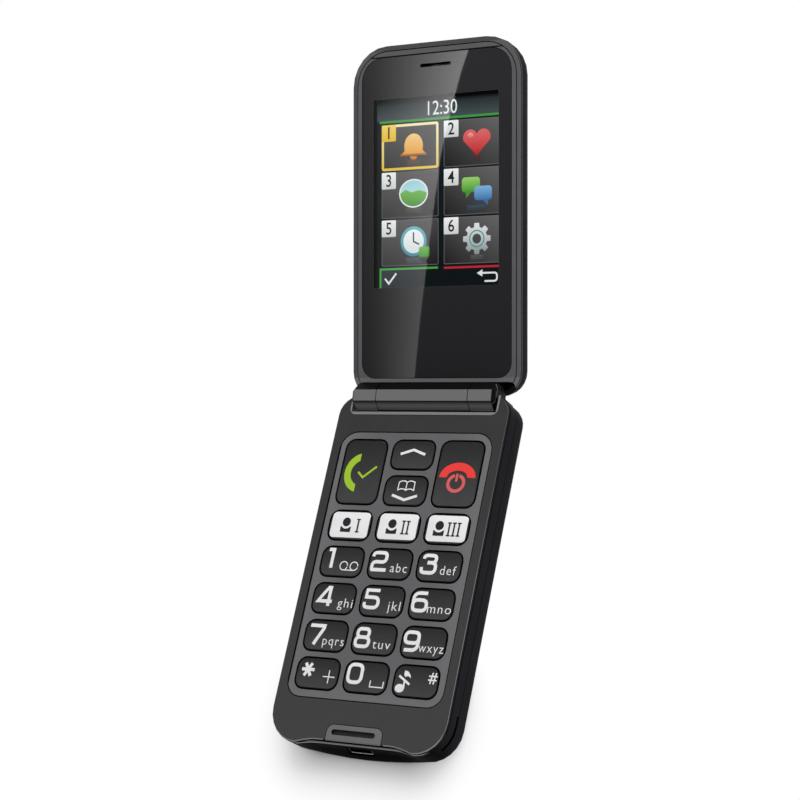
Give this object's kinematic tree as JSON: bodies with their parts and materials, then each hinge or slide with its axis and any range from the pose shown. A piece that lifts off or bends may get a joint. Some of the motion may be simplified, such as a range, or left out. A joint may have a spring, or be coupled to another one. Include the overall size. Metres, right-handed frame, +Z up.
{
  "type": "flip phone",
  "caption": "Clamshell phone with large keys, a full-face display window and a barrel hinge, opened flat at an angle with both halves joined by a real turning joint.",
  "frame": {"origin": "on the flat back of the keypad half, under the middle of its length and width", "axes": "+Z up, out of the keypad; +Y from the keypad towards the hinge; +X to the right for a user who looks at the keypad"},
  "size_m": [0.055, 0.1971, 0.0448],
  "materials": {
    "casing": "satin painted anthracite",
    "panel": "satin painted mid grey",
    "key_black": "satin-gloss dark key cap",
    "key_white": "satin white key cap",
    "membrane": "matt black silicone",
    "circuit_board": "solder mask",
    "shell": "soft black",
    "battery_case": "printed film",
    "steel_parts": "plain pressed steel",
    "lens": "gloss lens, black outside the window",
    "surround": "matt black",
    "screen": "smooth display face"
  },
  "bodies": {
    "keypad_half": {"base_front_casing": "casing", "keypad_panel": "panel", "keypad_membrane": "membrane", "main_board": "circuit_board", "rear_housing": "shell", "battery_cover": "shell", "end_tab": "panel", "battery": "battery_case", "battery_contacts": "steel_parts", "sim_holder": "steel_parts", "loudspeaker": "membrane", "vibration_motor": "steel_parts", "microphone": "steel_parts", "charging_socket": "steel_parts", "hinge_cradle": "panel", "hinge_cartridge": "steel_parts", "hinge_pin": "steel_parts", "base_screw_top_left": "steel_parts", "base_screw_top_right": "steel_parts", "base_screw_lower_left": "steel_parts", "base_screw_lower_right": "steel_parts"},
    "display_half": {"hinge_barrel": "panel", "lid_front_casing": "panel", "lid_rear_cover": "shell", "display_lens": "lens", "display_surround": "surround", "display_module": "screen", "lid_board": "circuit_board", "earpiece": "steel_parts", "closing_magnet": "steel_parts", "lid_screw_left": "steel_parts", "lid_screw_right": "steel_parts"},
    "button_call": {"key_call": "key_black"},
    "button_end": {"key_end": "key_black"},
    "button_up": {"key_up": "key_black"},
    "button_down": {"key_down": "key_black"},
    "button_memory_1": {"key_memory_1": "key_white"},
    "button_memory_2": {"key_memory_2": "key_white"},
    "button_memory_3": {"key_memory_3": "key_white"},
    "button_1": {"key_1": "key_black"},
    "button_2": {"key_2": "key_black"},
    "button_3": {"key_3": "key_black"},
    "button_4": {"key_4": "key_black"},
    "button_5": {"key_5": "key_black"},
    "button_6": {"key_6": "key_black"},
    "button_7": {"key_7": "key_black"},
    "button_8": {"key_8": "key_black"},
    "button_9": {"key_9": "key_black"},
    "button_star": {"key_star": "key_black"},
    "button_0": {"key_0": "key_black"},
    "button_hash": {"key_hash": "key_black"}
  },
  "joints": [
    {"name": "lid_hinge", "type": "hinge", "parent": "keypad_half", "child": "display_half", "pos_m": [0, 0.05045, 0.0088], "axis": [1, 0, 0], "range_deg": [0, 157.3]},
    {"name": "press_call", "type": "slide", "parent": "keypad_half", "child": "button_call", "axis": [0, 0, -1], "range_m": [0, 0.0004], "stiffness_N_per_m": 1500},
    {"name": "press_end", "type": "slide", "parent": "keypad_half", "child": "button_end", "axis": [0, 0, -1], "range_m": [0, 0.0004], "stiffness_N_per_m": 1500},
    {"name": "press_up", "type": "slide", "parent": "keypad_half", "child": "button_up", "axis": [0, 0, -1], "range_m": [0, 0.0004], "stiffness_N_per_m": 1500},
    {"name": "press_down", "type": "slide", "parent": "keypad_half", "child": "button_down", "axis": [0, 0, -1], "range_m": [0, 0.0004], "stiffness_N_per_m": 1500},
    {"name": "press_memory_1", "type": "slide", "parent": "keypad_half", "child": "button_memory_1", "axis": [0, 0, -1], "range_m": [0, 0.0004], "stiffness_N_per_m": 1500},
    {"name": "press_memory_2", "type": "slide", "parent": "keypad_half", "child": "button_memory_2", "axis": [0, 0, -1], "range_m": [0, 0.0004], "stiffness_N_per_m": 1500},
    {"name": "press_memory_3", "type": "slide", "parent": "keypad_half", "child": "button_memory_3", "axis": [0, 0, -1], "range_m": [0, 0.0004], "stiffness_N_per_m": 1500},
    {"name": "press_1", "type": "slide", "parent": "keypad_half", "child": "button_1", "axis": [0, 0, -1], "range_m": [0, 0.0004], "stiffness_N_per_m": 1500},
    {"name": "press_2", "type": "slide", "parent": "keypad_half", "child": "button_2", "axis": [0, 0, -1], "range_m": [0, 0.0004], "stiffness_N_per_m": 1500},
    {"name": "press_3", "type": "slide", "parent": "keypad_half", "child": "button_3", "axis": [0, 0, -1], "range_m": [0, 0.0004], "stiffness_N_per_m": 1500},
    {"name": "press_4", "type": "slide", "parent": "keypad_half", "child": "button_4", "axis": [0, 0, -1], "range_m": [0, 0.0004], "stiffness_N_per_m": 1500},
    {"name": "press_5", "type": "slide", "parent": "keypad_half", "child": "button_5", "axis": [0, 0, -1], "range_m": [0, 0.0004], "stiffness_N_per_m": 1500},
    {"name": "press_6", "type": "slide", "parent": "keypad_half", "child": "button_6", "axis": [0, 0, -1], "range_m": [0, 0.0004], "stiffness_N_per_m": 1500},
    {"name": "press_7", "type": "slide", "parent": "keypad_half", "child": "button_7", "axis": [0, 0, -1], "range_m": [0, 0.0004], "stiffness_N_per_m": 1500},
    {"name": "press_8", "type": "slide", "parent": "keypad_half", "child": "button_8", "axis": [0, 0, -1], "range_m": [0, 0.0004], "stiffness_N_per_m": 1500},
    {"name": "press_9", "type": "slide", "parent": "keypad_half", "child": "button_9", "axis": [0, 0, -1], "range_m": [0, 0.0004], "stiffness_N_per_m": 1500},
    {"name": "press_star", "type": "slide", "parent": "keypad_half", "child": "button_star", "axis": [0, 0, -1], "range_m": [0, 0.0004], "stiffness_N_per_m": 1500},
    {"name": "press_0", "type": "slide", "parent": "keypad_half", "child": "button_0", "axis": [0, 0, -1], "range_m": [0, 0.0004], "stiffness_N_per_m": 1500},
    {"name": "press_hash", "type": "slide", "parent": "keypad_half", "child": "button_hash", "axis": [0, 0, -1], "range_m": [0, 0.0004], "stiffness_N_per_m": 1500}
  ]
}
